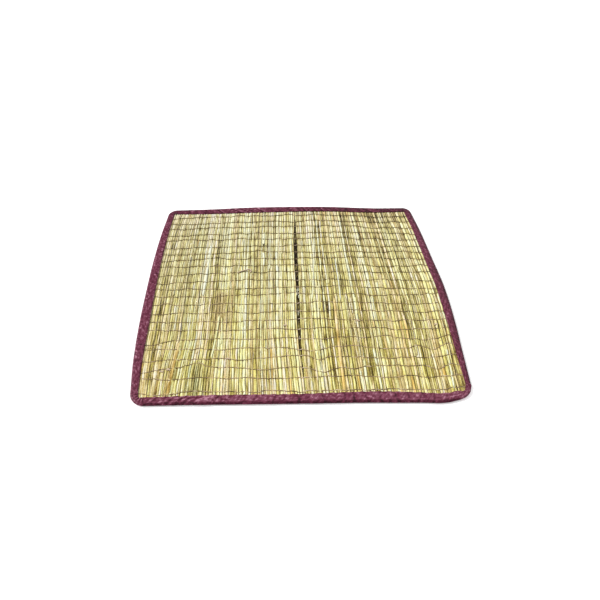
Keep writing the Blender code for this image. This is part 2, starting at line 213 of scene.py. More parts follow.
# How far noise swings the tone, along a stalk, from stem to stem and in speckles, and the cast
SLOW_SWING, STEM_SWING, SPECKLE_SWING, CAST_SWING = 0.72, 1.15, 0.50, 0.36
RINGS_A_METRE, RING_SPREAD = 3.7, 9.0


def smooth_through(values, share):
    """A cubic curve through evenly spaced values (Catmull-Rom), read at a share, from 0 to
    1, of its length."""
    values = np.asarray(values)
    last = len(values) - 1
    place = np.clip(share, 0, 1) * last
    i = np.minimum(place.astype(int), last - 1)
    t = place - i
    before, here = values[np.maximum(i - 1, 0)], values[i]
    after, beyond = values[i + 1], values[np.minimum(i + 2, last)]
    bend = 2 * before - 5 * here + 4 * after - beyond
    twist = 3 * (here - after) + beyond - before
    return here + 0.5 * t * (after - before + t * (bend + t * twist))


def ease(start, end, value):
    """0 before start, 1 after end, and 3t² - 2t³ between them."""
    t = np.clip((value - start) / (end - start), 0, 1)
    return t * t * (3 - 2 * t)


def bell(away, reach):
    """A bell curve: 1 where away is 0, and 1/e at the reach."""
    return np.exp(-((away / reach) ** 2))


def together(*values):
    """Arrays, or numbers that stretch to their shape, as the columns of one array."""
    return np.stack(np.broadcast_arrays(*values), -1)


def corner_radius(x, y):
    """The radius of the corner nearest to a point."""
    return np.array(CORNER_RADII)[np.where(y < 0, 0, 1), np.where(x > 0, 1, 0)]


def edge_distance(x, y):
    """Distance inwards from the edge of the round-cornered rectangle: the radius less the
    distance from the corner's centre, or elsewhere the distance to the nearer side."""
    radius = corner_radius(x, y)
    dx = np.abs(x) - (MAT_WIDTH / 2 - radius)
    dy = np.abs(y) - (MAT_DEPTH / 2 - radius)
    round_part = np.hypot(np.maximum(dx, 0), np.maximum(dy, 0))
    return radius - np.where((dx > 0) & (dy > 0), round_part, np.maximum(dx, dy))


def cut_at_corner(x, y):
    """The y of a point on the stalk at x, cut shorter by the round corner: the corner's
    arc is spread evenly over the stalk's last part."""
    radius = corner_radius(x, y) - PANEL_EDGE
    into = np.clip(np.abs(x) - (PANEL_SIDE - radius), 0, radius)
    cut = radius - np.sqrt(radius**2 - into**2)
    reached = np.maximum(np.abs(y) - (PANEL_END - CORNER_REACH), 0)
    return y - np.sign(y) * cut * reached / CORNER_REACH


def settle(x, y):
    """Draws the straight rectangle in to the mat's outline: each side moves inwards by its
    inset. Between front and back a point moves by its share of both, and away from the
    left or right side the inset fades as the fourth power. So do the front edge's bulge,
    which is a bell curve of x, and its drawn corner, away from the front."""
    across, along = x / MAT_WIDTH + 0.5, y / MAT_DEPTH + 0.5
    left, right = smooth_through(LEFT_INSET, along), smooth_through(RIGHT_INSET, along)
    front, back = smooth_through(FRONT_INSET, across), smooth_through(BACK_INSET, across)
    bulge = EDGE_BULGE[2] * bell(x - EDGE_BULGE[0], EDGE_BULGE[1])
    drawn = CORNER_DRAW[2] * ease(CORNER_DRAW[0], CORNER_DRAW[1], x) - bulge
    y = y + (1 - along) * front - along * back + np.clip(1 - along, 0, 1) ** SIDE_FADE * drawn
    return x + (1 - across) ** SIDE_FADE * left - across**SIDE_FADE * right, y


def lay(x, y, height, side):
    """Lays points of the panel in the mat. Height runs from 0, the underside, to 1, the
    stalks' crests, and the tape presses both together at the rim. Side is -1 or 1, and
    the point is pushed that way by the slit's half width and follows its line, or 0 for
    what lies in the slit. At the front left it leans outwards, by a bell curve of x."""
    swell = ease(RIM_END, FIELD_START, edge_distance(x, y))
    bottom = RIM_BOTTOM * (1 - swell)
    top = RIM_TOP + swell * (FIELD_TOP - RIM_TOP)
    opened = smooth_through(SLIT_HALF_WIDTHS, (y - SLIT_FRONT) / (SLIT_BACK - SLIT_FRONT))
    push = side * opened * np.exp(-np.abs(x) / SLIT_PRESS)
    follow = smooth_through(SLIT_LINE, y / MAT_DEPTH + 0.5) * bell(x, SLIT_REACH)
    fan = FAN_SHIFT * ease(FAN_START, FAN_END, y) * bell(x - FAN_X, FAN_REACH)
    fan = fan * ease(0, FAN_STOP, MAT_WIDTH / 2 - np.abs(x))
    px, py = settle(x + push + follow - fan, y)
    return together(px, py, bottom + height * (top - bottom))


def twine_rows():
    """The rows of twine, front to back, as columns of numbers: y, phase of the sway, phase
    of the ripple, and step at the slit."""
    rng = random.Random(TWINE_SEED)
    rows = []
    for k in range(TWINE_COUNT):
        y = TWINE_SECOND + (k - 1) * TWINE_PITCH if k else TWINE_FRONT
        y += rng.uniform(-TWINE_UNEVEN, TWINE_UNEVEN)
        sway, ripple = rng.uniform(0, 2 * np.pi), rng.uniform(0, 2 * np.pi)
        rows.append((y, sway, ripple, rng.uniform(-TWINE_STEP, TWINE_STEP)))
    return np.array(rows)


def twine_jogs(rng, bundles):
    """How far each row strays at each bundle: a random step at every bundle, added to
    what is kept of the last one."""
    jogs = rng.normal(0, 1, (TWINE_COUNT, bundles))
    for k in range(1, bundles):
        jogs[:, k] += JOG_KEEP * jogs[:, k - 1]
    return jogs * np.linspace(JOG_FRONT, JOG_BACK, TWINE_COUNT)[:, None]


def row_y(k, x):
    """Where row k runs at x: a slow and a quick sine, a step to each side of the slit that
    dies away, its jogs, and its bumps as bell curves."""
    y, sway, ripple, step = twine[k]
    y = y + TWINE_SWAY * np.sin(2 * np.pi * x / TWINE_SWAY_LENGTH + sway)
    y = y + TWINE_RIPPLE * np.sin(2 * np.pi * x / TWINE_RIPPLE_LENGTH + ripple)
    y = y + np.sign(x) * step * np.exp(-np.abs(x) / TWINE_STEP_REACH)
    y = y + np.interp(x, bundle_edges, jogs[k])
    for row, middle, reach, rise in ROW_BUMPS:
        if row == k:
            y = y + rise * bell(x - middle, reach)
    return y


def held_by_twine(x, y):
    """1 under a row of twine, falling off as a bell curve on both sides of it."""
    return bell(np.min([np.abs(y - row_y(k, x)) for k in range(TWINE_COUNT)], axis=0), TWINE_GRIP)


def whole_length(x, steps):
    """Stations along whole stalks at x: at the same shares of the way from one row of
    twine to the next, and from the outer rows to the cut ends."""
    rows = np.stack([row_y(k, x) for k in range(TWINE_COUNT)], 1)
    end = np.full((len(x), 1), PANEL_END)
    knots = np.concatenate([-end, rows, end], 1)[:, :, None]
    stations = (knots[:, :-1] * (1 - np.array(steps)) + knots[:, 1:] * steps).reshape(len(x), -1)
    return np.concatenate([stations, end], 1)


def wander(rng, y, *swings):
    """A smooth random line for each stalk: sines along y with random phases, each given by
    its size and its length, which varies by up to a third."""
    total = np.zeros(y.shape)
    for size, length in swings:
        pace = 2 * np.pi / (length * rng.uniform(0.7, 1.35, (len(y), 1)))
        total += size * np.sin(pace * y + rng.uniform(0, 2 * np.pi, (len(y), 1)))
    return total


def made_piece(name, node, slot, finish, points, quads, caps, **attributes):
    """A smooth mesh of quads and end caps, with vector attributes on its points, which
    stands for a solid."""
    mesh = bpy.data.meshes.new(name)
    faces = [*quads.tolist(), *caps]
    mesh.from_pydata(points.reshape(-1, 3), [], faces, shade_flat=False)
    for key, values in attributes.items():
        layer = mesh.attributes.new(key, "FLOAT_VECTOR", "POINT")
        layer.data.foreach_set("vector", values.astype(np.float32).ravel())
    mesh.materials.append(finish)
    piece = bpy.data.objects.new(name, mesh)
    scene.collection.objects.link(piece)
    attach(piece, "root")
    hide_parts(node)
    return piece


def rod_piece(name, paths, wide, tall, roll, tint, sides, finish, node="grass_panel", slot="grass"):
    """Closed rods, as one piece, carried along paths of shape (rods, stations, 3). A point
    is the path's plus wide·cos(angle) across and tall·sin(angle) upwards, both square to
    the path and turned round it by roll, and no lower than the floor. It keeps its grain
    (metres across and along the rod, and the rod's number), its place around the rod
    (cosine and sine) and its tint (tone, cast and chance)."""
    along = np.gradient(paths, axis=1)
    along /= np.linalg.norm(along, axis=2, keepdims=True)
    across = np.cross(along, (0, 0, 1))
    across /= np.linalg.norm(across, axis=2, keepdims=True)
    up = np.cross(across, along)
    wide, tall, roll, _ = np.broadcast_arrays(wide, tall, roll, paths[..., 0])
    cos_roll, sin_roll = np.cos(roll)[..., None], np.sin(roll)[..., None]
    across, up = across * cos_roll + up * sin_roll, up * cos_roll - across * sin_roll
    angle = 2 * np.pi * np.arange(sides) / sides + np.pi / 2
    outwards, upwards = wide[..., None] * np.cos(angle), tall[..., None] * np.sin(angle)
    points = paths[:, :, None] + outwards[..., None] * across[:, :, None]
    points += upwards[..., None] * up[:, :, None]
    points[..., 2] = np.maximum(points[..., 2], FLOOR_GAP)
    at = np.arange(points[..., 0].size).reshape(points.shape[:3])
    turned = np.roll(at, -1, axis=2)
    quads = np.stack([at[:, :-1], turned[:, :-1], turned[:, 1:], at[:, 1:]], -1).reshape(-1, 4)
    caps = np.concatenate([at[:, 0, ::-1], at[:, -1]]).tolist()
    steps = np.linalg.norm(np.diff(paths, axis=1, prepend=paths[:, :1]), axis=2)
    number = 10.0 * np.arange(len(paths))[:, None, None]
    grain = together(outwards, steps.cumsum(1)[..., None], number)
    around = np.broadcast_to(together(np.cos(angle), np.sin(angle), 0.0), points.shape)
    tint = np.broadcast_to(np.asarray(tint)[..., None, :], points.shape)
    made_piece(name, node, slot, finish, points, quads, caps, grain=grain, around=around, tint=tint)


def stalk_piece(name, x, y, top, wide, tall, side, tint, sides, roll=0):
    """Stalks laid from front to back. Top and tall are shares of the mat's thickness: the
    crest's height, and half the stalk's."""
    y = cut_at_corner(x, y)
    paths = lay(x, y, top - tall, side)
    half_tall = lay(x, y, top, side)[..., 2] - paths[..., 2]
    rod_piece(name, paths, wide, half_tall, roll, tint, sides, dry_stalk)


def stalk_tint(rng, x, y, tone, spread):
    """Tone, cast and chance of each stalk. The tone is random, more uneven towards the
    back and less at the front right, with sines across the mat, and darker at the right.
    Patches add to both numbers as bell curves, a stain draws both to its own, and the
    tone is darkened under the twine as painted shade."""
    shape = (len(x), 1)
    uneven = UNEVEN + UNEVEN_BACK * ease(-0.20, 0.20, y)
    uneven = uneven - EVEN_FRONT_RIGHT * ease(0.02, 0.10, x) * ease(-0.04, -0.16, y)
    tone = tone + np.clip(rng.normal(0, spread, shape), *TONE_LIMITS) * uneven
    for size, length, phase in TONE_WAVES:
        tone = tone + size * np.sin(2 * np.pi * x / length + phase + WAVE_SLANT * y)
    tone = tone - RIGHT_DARKER * np.sign(x) * np.minimum(np.abs(y) / MIDDLE_REACH, 1)
    cast = rng.uniform(*CAST_RANGE, shape) + CAST_FRONT * ease(0.05, -0.20, y) + CAST_RIGHT * np.sign(x)
    for middle_x, middle_y, reach_x, reach_y, more_tone, more_cast in PATCHES:
        share = bell(x - middle_x, reach_x) * bell(y - middle_y, reach_y)
        tone, cast = tone + share * more_tone, cast + share * more_cast
    cast = np.minimum(cast, CAST_LIMIT)
    for middle, reach, front, back, stain_tone, tone_share, stain_cast, cast_share in STAINS:
        share = bell(x - middle, reach)
        share = share * ease(front, front + STAIN_FADE, y) * ease(back, back - STAIN_FADE, y)
        tone = tone + share * tone_share * (stain_tone - tone)
        cast = cast + share * cast_share * (stain_cast - cast)
    # painted shade beside the twine
    tone = tone - (TWINE_PAINTED_SHADE + TWINE_PAINTED_SHADE_BACK * ease(-0.10, 0.15, y)) * held_by_twine(x, y)
    return together(tone, cast, rng.random(shape))


def bundle_plan(rng):
    """Cuts one half into bundles of random width, and a bundle into stalks. Returns the
    bundles' edges as distances from the slit, and each stalk's middle, width and
    bundle's middle."""
    shares = 1 + rng.uniform(-BUNDLE_UNEVEN, BUNDLE_UNEVEN, BUNDLES_PER_HALF)
    edges = np.concatenate([[0], np.cumsum(shares)]) / shares.sum() * PANEL_SIDE
    stalks = []
    for start, end in zip(edges, edges[1:]):
        room = end - start - GROOVE
        count = 1 + sum(int(rng.random() < (room - needed) / more) for needed, more in MORE_STALKS)
        widths = rng.uniform(1 - STALK_UNEVEN, 1 + STALK_UNEVEN, count)
        widths *= room / widths.sum()
        middles = start + GROOVE / 2 + np.cumsum(widths) - widths / 2
        stalks += [(middle, width, (start + end) / 2) for middle, width in zip(middles, widths)]
    return edges, np.array(stalks).T


def node(kind, *inputs, tree=None, out=0, **settings):
    """A shader node, in the tree given or that of the sockets among its inputs. These, in
    order, are sockets to link, values, or None."""
    sockets = [source for source in inputs if isinstance(source, bpy.types.NodeSocket)]
    tree = tree or sockets[0].id_data
    made = tree.nodes.new("ShaderNode" + kind)
    for key, value in settings.items():
        setattr(made, key, value)
    for socket, source in zip(made.inputs, inputs):
        if source in sockets:
            tree.links.new(source, socket)
        elif source is not None:
            socket.default_value = source
    return made.outputs[out]


def kept(tree, name):
    """A vector that the mesh's points keep."""
    return node("Attribute", tree=tree, attribute_name=name, out=1)


def parts(vector):
    """A vector's three numbers."""
    return node("SeparateXYZ", vector).node.outputs


def product(first, second):
    """First times second."""
    return node("Math", first, second, operation="MULTIPLY")


def with_share(base, value, share):
    """The base, and added to it a share of the value."""
    return node("Math", value, share, base, operation="MULTIPLY_ADD")


def swung(value, noise, share):
    """The value, swung by noise up to half the share to either side."""
    return with_share(node("Math", value, -share / 2), noise, share)


def ramp(source, stops):
    """Colours or greys at places from 0 to 1."""
    made = node("ValToRGB", source)
    band = made.node.color_ramp
    while len(band.elements) < len(stops):
        band.elements.new(1.0)
    for element, (place, colour) in zip(band.elements, stops):
        element.position = place
        element.color = (*(colour if isinstance(colour, tuple) else (colour,) * 3), 1)
    return made


def mixed(share, first, second, kind="MIX"):
    """A mix of two colours, of a kind such as MIX or MULTIPLY."""
    unused = [None] * 5
    return node("Mix", share, *unused, first, second, out=2, data_type="RGBA", blend_type=kind)


def tinted(first, second):
    """One colour times another."""
    return mixed(1.0, first, second, "MULTIPLY")


def relief(height, strength, distance, under=None):
    """A bump from a height, laid over another bump if one is given."""
    return node("Bump", strength, distance, None, height, under)


def stretched_noise(source, stretch, detail=2.0):
    """Noise on coordinates that are stretched by a factor for each axis."""
    place = node("VectorMath", source, stretch, operation="MULTIPLY")
    return node("TexNoise", place, None, 1.0, detail)


def dressed(shader, **sources):
    """Links what was made for each of the shader's sockets, with _ for each space."""
    for socket, source in sources.items():
        shader.id_data.links.new(source, shader.inputs[socket.replace("_", " ")])


def dry_stalk_finish():
    """Straw that varies from stalk to stalk and slowly along each one, with stems and
    finer fibres along it, painted shade on its flanks, joint rings, brown flecks and a faint gloss."""
    finish, tree, shader = new_finish("dry_stalk", Specular_IOR_Level=0.25)
    grain = kept(tree, "grain")
    tone, cast, chance = parts(kept(tree, "tint"))
    slow = stretched_noise(grain, (0, 19, 1), 4.0)
    drift = stretched_noise(grain, (0, 13, 1.7))
    stems = stretched_noise(grain, (520, 24, 1.3), 1.5)
    fibre = stretched_noise(grain, (2600, 18, 1), 3.0)
    speckle = stretched_noise(grain, (620, 290, 1), 1.0)
    fleck = stretched_noise(grain, (700, 110, 1), 1.0)
    flank_shade_depth = stretched_noise(grain, (420, 30, 1.1))

    for noise, share in ((slow, SLOW_SWING), (stems, STEM_SWING), (speckle, SPECKLE_SWING)):
        tone = swung(tone, noise, share)
    tone = node("Math", tone, 0.0, use_clamp=True)
    cast = swung(cast, drift, CAST_SWING)
    colour = tinted(ramp(tone, STRAW_TONES), ramp(cast, STRAW_CASTS))
    colour = tinted(colour, ramp(fibre, ((0.25, 0.62), (0.50, 1.0), (0.75, 1.18))))
    # Painted shade where the stalks meet: their flanks darker, by an amount that noise varies
    flank = node("Math", parts(kept(tree, "around"))[0], operation="ABSOLUTE")
    painted_flank_shade = node("MapRange", flank_shade_depth, 0.38, 0.62, 0.75, 0.10)
    colour = tinted(colour, node("MapRange", flank, 0.55, 0.95, 1.0, painted_flank_shade))

    across, along, _ = parts(node("TexCoord", tree=tree, out=3))
    bleach = product(node("MapRange", along, -0.20, 0.30, 0.0, BLEACH_AT_BACK), tone)
    sideways = node("MapRange", across, -0.30, 0.05, BLEACH_AT_LEFT, BLEACH_AT_RIGHT)
    colour = mixed(product(bleach, sideways), colour, BLEACHED)
    flecks = product(ramp(fleck, ((0.64, 0.0), (0.72, 0.7))), chance)
    colour = mixed(flecks, colour, FLECK_BROWN)
    joint = with_share(product(chance, RING_SPREAD), parts(grain)[1], RINGS_A_METRE)
    joint = node("Math", joint, operation="FRACT")
    ring = ramp(joint, ((0.488, 0.0), (0.50, 0.6), (0.512, 0.0)))
    colour = mixed(ring, colour, RING_BROWN)
    rough = node("MapRange", tone, 0.05, 0.40, 0.85, 0.45)
    rough = with_share(rough, fibre, 0.2)
    bump = relief(stems, 0.6, 0.0008, relief(ring, 0.5, 0.0004))
    bump = relief(fibre, 0.5, 0.0003, bump)
    dressed(shader, Base_Color=colour, Roughness=rough, Normal=bump)
    return finish


twine = twine_rows()
dry_stalk = dry_stalk_finish()
left_plan, right_plan = (bundle_plan(np.random.default_rng(seed)) for seed in BUNDLE_SEEDS)
bundle_edges = np.concatenate([-left_plan[0][::-1], right_plan[0][1:]])
jogs = twine_jogs(np.random.default_rng(17), len(bundle_edges))
rng = np.random.default_rng(2)
for name, side, plan in (("stalks_left", -1, left_plan), ("stalks_right", 1, right_plan)):
    middle, width, bundle = plan[1][:, :, None]
    y = whole_length(side * middle[:, 0], UPPER_STEPS)
    held = held_by_twine(side * middle, y)
    cells = np.repeat(rng.normal(0, 1, (4, len(y), TWINE_COUNT + 1)), len(UPPER_STEPS), axis=2)
    shift, twist, shade, hue = np.concatenate([cells, cells[..., -1:]], axis=2)
    x = middle + (bundle - middle) * DRAWN_TOGETHER * held + CELL_SHIFT * shift * (1 - held)
    x = x + wander(rng, y, (0.0003, 0.30), (0.0003, 0.09), (0.0002, 0.045))
    x = side * np.clip(x, width * 0.55, PANEL_SIDE - width * 0.3)
    crest = CREST + rng.normal(0, CREST_UNEVEN, (len(y), 1)) + wander(rng, y, (0.03, 0.25), (0.02, 0.07))
    crest = CREST + (crest - CREST) * (1 - 0.8 * held) - CREST_DIP * held
    tall = HALF_TALL * (width / USUAL_WIDTH) ** TALL_POWER
    wide = 0.5 * width * (FULL_WIDE - HELD_NARROWER * held + wander(rng, y, (0.05, 0.05)))
    roll = rng.normal(0, UPPER_ROLL, (len(y), 1)) + CELL_TWIST * twist
    tint = stalk_tint(rng, x, y, tone=0.665, spread=0.17)
    tint[..., 0] += CELL_SHADE * shade
    tint[..., 1] += CELL_CAST * hue
    stalk_piece(name, x, y, crest, wide, tall, side, tint, UPPER_SIDES, roll)

# The lower stalks: the side that lies on the floor, a closer row of thinner stalks. At the
# slit they have parted less and are painted dark, as the slit's shade. Frayed fibres lie in
# it, most of them painted near black as that shade, and tufts of them bleached.
LOWER_PER_HALF, LOWER_STEPS, LOWER_SIDES = 92, (0.0, 0.5), 6
LOWER_TOP, LOWER_TALL, LOWER_LIFT = 0.66, 0.30, 0.06
LOWER_WIDE = 0.56  # half a stalk's width, against their pitch
LOWER_PARTING = 0.30  # share of the slit's width
SLIT_SHADE_REACH, SLIT_SHADE_FRONT, SLIT_SHADE_DARKER = 0.0050, -0.265, 1.8
FRAYED_COUNT, FRAYED_STATIONS, FRAYED_SIDES, FRAYED_TALL = 190, 18, 5, 0.06
# the frayed fibres' tones; those below 0 paint them near black, as the slit's shade
FRAYED_TONES = (-1.2, -0.8, -0.4, 0.0, 0.22, 0.50)
TUFTS = (-0.089, -0.084, -0.080, -0.043, -0.038, -0.035, -0.029, -0.026, -0.017, -0.014)  # their y
TUFT_LENGTH, TUFT_TONE, TUFT_LIFT = 0.010, 1.0, 0.3

rng = np.random.default_rng(8)
pitch = PANEL_SIDE / LOWER_PER_HALF
middle = (np.arange(-LOWER_PER_HALF, LOWER_PER_HALF)[:, None] + 0.5) * pitch
side = np.sign(middle)
y = whole_length(middle[:, 0], LOWER_STEPS)
held = held_by_twine(middle, y)
x = middle + wander(rng, y, (0.0003, 0.3), (0.0002, 0.1))
x = side * np.clip(np.abs(x), pitch * 0.5, PANEL_SIDE - pitch * 0.5)
top = LOWER_TOP + LOWER_LIFT * held + wander(rng, y, (0.02, 0.2))
roll = rng.normal(0, 0.12, middle.shape)
# their tone, lower than the upper stalks', is painted shade for the grooves between those
tint = stalk_tint(rng, x, y, tone=0.52, spread=0.12)
# Painted shade: the lower stalks darkened under the slit, so that it looks dark
slit_shade = ease(SLIT_SHADE_FRONT, SLIT_SHADE_FRONT + 0.03, y) * ease(SLIT_BACK + 0.02, SLIT_BACK - 0.01, y)
tint[..., 0] -= SLIT_SHADE_DARKER * slit_shade * bell(x, SLIT_SHADE_REACH)
wide, side = LOWER_WIDE * pitch, LOWER_PARTING * side
stalk_piece("stalks_below", x, y, top, wide, LOWER_TALL, side, tint, LOWER_SIDES, roll)

start = rng.uniform(SLIT_FRONT, SLIT_BACK - 0.04, (FRAYED_COUNT, 1))
length = rng.uniform(0.012, 0.07, start.shape)
tone = rng.choice(FRAYED_TONES, start.shape)
tufts = np.array(TUFTS)[:, None]
start = np.concatenate([start, tufts])
length = np.concatenate([length, 0 * tufts + TUFT_LENGTH])
tone = np.concatenate([tone, 0 * tufts + TUFT_TONE])
bleached = tone == TUFT_TONE
share = np.linspace(0, 1, FRAYED_STATIONS)
y = start + length * share
x = rng.uniform(-0.0023, 0.0023, start.shape) + wander(rng, y, (0.0005, 0.06), (0.0003, 0.02))
taper = np.clip(np.minimum(share, 1 - share) / 0.12, 0.25, 1)
wide = rng.uniform(0.0003, 0.0011, start.shape) * taper
top = rng.uniform(0.20, 0.60, start.shape) + TUFT_LIFT * bleached + wander(rng, y, (0.05, 0.05))
tint = together(tone, 0.5 - 0.3 * bleached, 0.0)
stalk_piece("frayed_fibres", x, y, top, wide, FRAYED_TALL * taper, 0, tint, FRAYED_SIDES)

# Loose stalks and leaf strips: thin single stalks that ran out of their bundles, and
# broad bleached or golden strips, lying on the upper stalks and held under the twine.

# How many, stations, sides, height of their tops and half their height, against the mat's
# thickness, and how much more than a crest the twine holds them down
THIN_COUNT, THIN_STATIONS, THIN_SIDES, THIN_TOP, THIN_TALL, THIN_DIP = 130, 64, 5, 1.06, 0.11, 0.08
STRIP_COUNT, STRIP_STATIONS, STRIP_SIDES, STRIP_TOP, STRIP_TALL, STRIP_DIP = 46, 44, 6, 1.10, 0.05, 0.13
LOOSE_FRONT = -0.29  # their foremost end
SLIT_MARGIN = 0.006  # how far they keep from the slit's middle
# Strips that show: x and y of both ends, width, tone and cast
STRIPS = (
    (-0.192, 0.155, -0.1965, -0.025, 0.0062, 0.98, 0.14),
    (-0.073, 0.197, -0.073, 0.15, 0.0062, 0.92, 0.3), (-0.073, 0.118, -0.072, 0.072, 0.0052, 0.98, 0.2),
    (0.0445, 0.179, 0.0285, -0.043, 0.0028, 1.0, 0.3),
    (0.088, 0.095, 0.0864, -0.044, 0.0032, 1.0, 0.15),
    (0.1356, -0.18, 0.1383, -0.292, 0.0044, 1.0, 0.3), (0.281, -0.186, 0.277, -0.28, 0.0036, 1.0, 0.2),
    (0.104, -0.235, 0.106, -0.292, 0.0036, 0.98, 0.3), (0.028, -0.15, 0.031, -0.25, 0.008, 0.78, 0.42),
    (-0.231, -0.155, -0.233, -0.29, 0.0064, 0.46, 0.96),
    (0.074, -0.04, 0.07, -0.292, 0.007, 0.64, 0.95), (-0.223, 0.18, -0.223, 0.15, 0.003, 0.45, 1.0),
    (-0.16, -0.085, -0.168, -0.2, 0.0036, 0.98, 0.45),
    (-0.112, -0.12, -0.114, -0.175, 0.003, 0.96, 0.25),
)

rng = np.random.default_rng(21)
start = rng.uniform(LOOSE_FRONT, 0.20, (THIN_COUNT, 1))
end = np.minimum(start + rng.uniform(0.06, 0.32, start.shape), PANEL_END)
share = np.linspace(0, 1, THIN_STATIONS)
y = start + (end - start) * share
x = rng.uniform(-0.295, 0.295, start.shape)
x = x + rng.normal(0, 0.004, start.shape) * share + wander(rng, y, (0.0006, 0.25), (0.0003, 0.08))
x = np.where(np.abs(x) < SLIT_MARGIN, np.sign(x) * SLIT_MARGIN, x)
taper = np.clip(np.minimum(share, 1 - share) / 0.03, 0.3, 1)
wide = rng.uniform(0.00045, 0.0010, start.shape) * taper
top = THIN_TOP + rng.normal(0, 0.02, start.shape) - (CREST_DIP + THIN_DIP) * held_by_twine(x, y)
tint = stalk_tint(rng, x, y, tone=0.60, spread=0.20)
stalk_piece("thin_stalks", x, y, top, wide, THIN_TALL * taper, np.sign(x[:, :1]), tint, THIN_SIDES)

x = rng.uniform(0.022, 0.29, STRIP_COUNT) * rng.choice((-1, 1), STRIP_COUNT)
y = rng.uniform(-0.15, 0.28, STRIP_COUNT)
loose = (
    x, y, x + rng.normal(0, 0.002, STRIP_COUNT),
    np.maximum(y - rng.uniform(0.04, 0.20, STRIP_COUNT), LOOSE_FRONT),
    rng.uniform(0.0022, 0.0044, STRIP_COUNT), rng.normal(0.64, 0.12, STRIP_COUNT),
    rng.uniform(0.14, 0.84, STRIP_COUNT),
)
strips = np.concatenate([STRIPS, together(*loose)]).T
start_x, start_y, end_x, end_y, width, tone, cast = strips[..., None]
share = np.linspace(1, 0, STRIP_STATIONS)
x = start_x + (end_x - start_x) * share + 0.0006 * np.sin(np.pi * share)
y = start_y + (end_y - start_y) * share
taper = np.clip(np.minimum(share, 1 - share) / 0.05, 0.3, 1)
wide = 0.5 * width * taper * (1 + wander(rng, y, (0.08, 0.06)))
top = STRIP_TOP + wander(rng, y, (0.012, 0.05)) - (CREST_DIP + STRIP_DIP) * held_by_twine(x, y)
tint = together(tone, cast, 0.3)
stalk_piece("leaf_strips", x, y, top, wide, STRIP_TALL, np.sign(x[:, :1]), tint, STRIP_SIDES)

# The twine: thin two-ply cord. In each row two strands twist once between two bundles,
# so that one lies over a bundle and the other under it, at the floor. It has stayed dark
# at the back and bleached at the front. Knots and a loose loop show where it was joined.
TWINE_RADIUS, TWINE_SIDES = 0.00090, 5
TWINE_STATIONS = 5  # to a bundle
TWINE_TWIST = 0.00032  # how far the strands lie to either side of their row
TWINE_OVER, TWINE_LIFT = 0.83, 0.00028  # share of the mat's thickness, and more on top of it
TWINE_SINK = 0.0008  # how deep a row sinks between the stalks in places
TWINE_SQUARE = 0.45  # the lower, the more suddenly a strand goes over and under
# The rows' tone, how much paler they are at the front and at the slit, and its reach there
TWINE_TONE, TWINE_AT_FRONT, TWINE_AT_SLIT, TWINE_SLIT_REACH = 0.30, 0.30, 0.48, 0.0045
TWINE_TONES = (
    (0.0, (0.07, 0.044, 0.014)), (0.35, (0.18, 0.115, 0.044)), (0.7, (0.46, 0.32, 0.18)),
    (1.0, (0.88, 0.7, 0.5)),
)
# Knots: x, y and size; and the loose loop's points
KNOTS = (
    (-0.141, -0.203, 0.0016), (-0.255, -0.231, 0.0013), (-0.243, -0.227, 0.0016),
    (-0.03, -0.118, 0.0013), (0.112, -0.106, 0.0015), (0.268, -0.117, 0.0014), (0.004, 0.193, 0.002),
)
LOOP_X = (-0.129, -0.120, -0.110, -0.102, -0.099, -0.102)
LOOP_Y = (0.047, 0.052, 0.0565, 0.0575, 0.0525, 0.047)
KNOT_STATIONS, KNOT_TURNS, KNOT_TONE, LOOP_THICKER = 60, 2.5, 1.05, 1.4


def twine_finish():
    """Cord whose two plies show as slanting ribs, bumped and with painted shade between
    them, with a dusty, fuzzy surface.
    """
    finish, tree, shader = new_finish("twine", Roughness=0.9, Sheen_Weight=0.2)
    grain = kept(tree, "grain")
    patchy = stretched_noise(grain, (0, 24, 1), 4.0)
    fuzz = stretched_noise(grain, (4000, 2500, 1), 1.0)
    tone = swung(parts(kept(tree, "tint"))[0], patchy, 1.5)
    place = node("VectorMath", grain, (2400, 3300, 0), operation="DOT_PRODUCT", out=1)
    ply = node("MapRange", node("Math", place, operation="SINE"), -1.0, 1.0, 0.0, 1.0)
    # the plies: colour darker between them as painted shade
    colour = tinted(ramp(tone, TWINE_TONES), ramp(ply, ((0.0, 0.62), (1.0, 1.1))))
    bump = relief(fuzz, 0.4, 0.0001, relief(ply, 0.7, 0.0002))
    dressed(shader, Base_Color=colour, Normal=bump)
    return finish


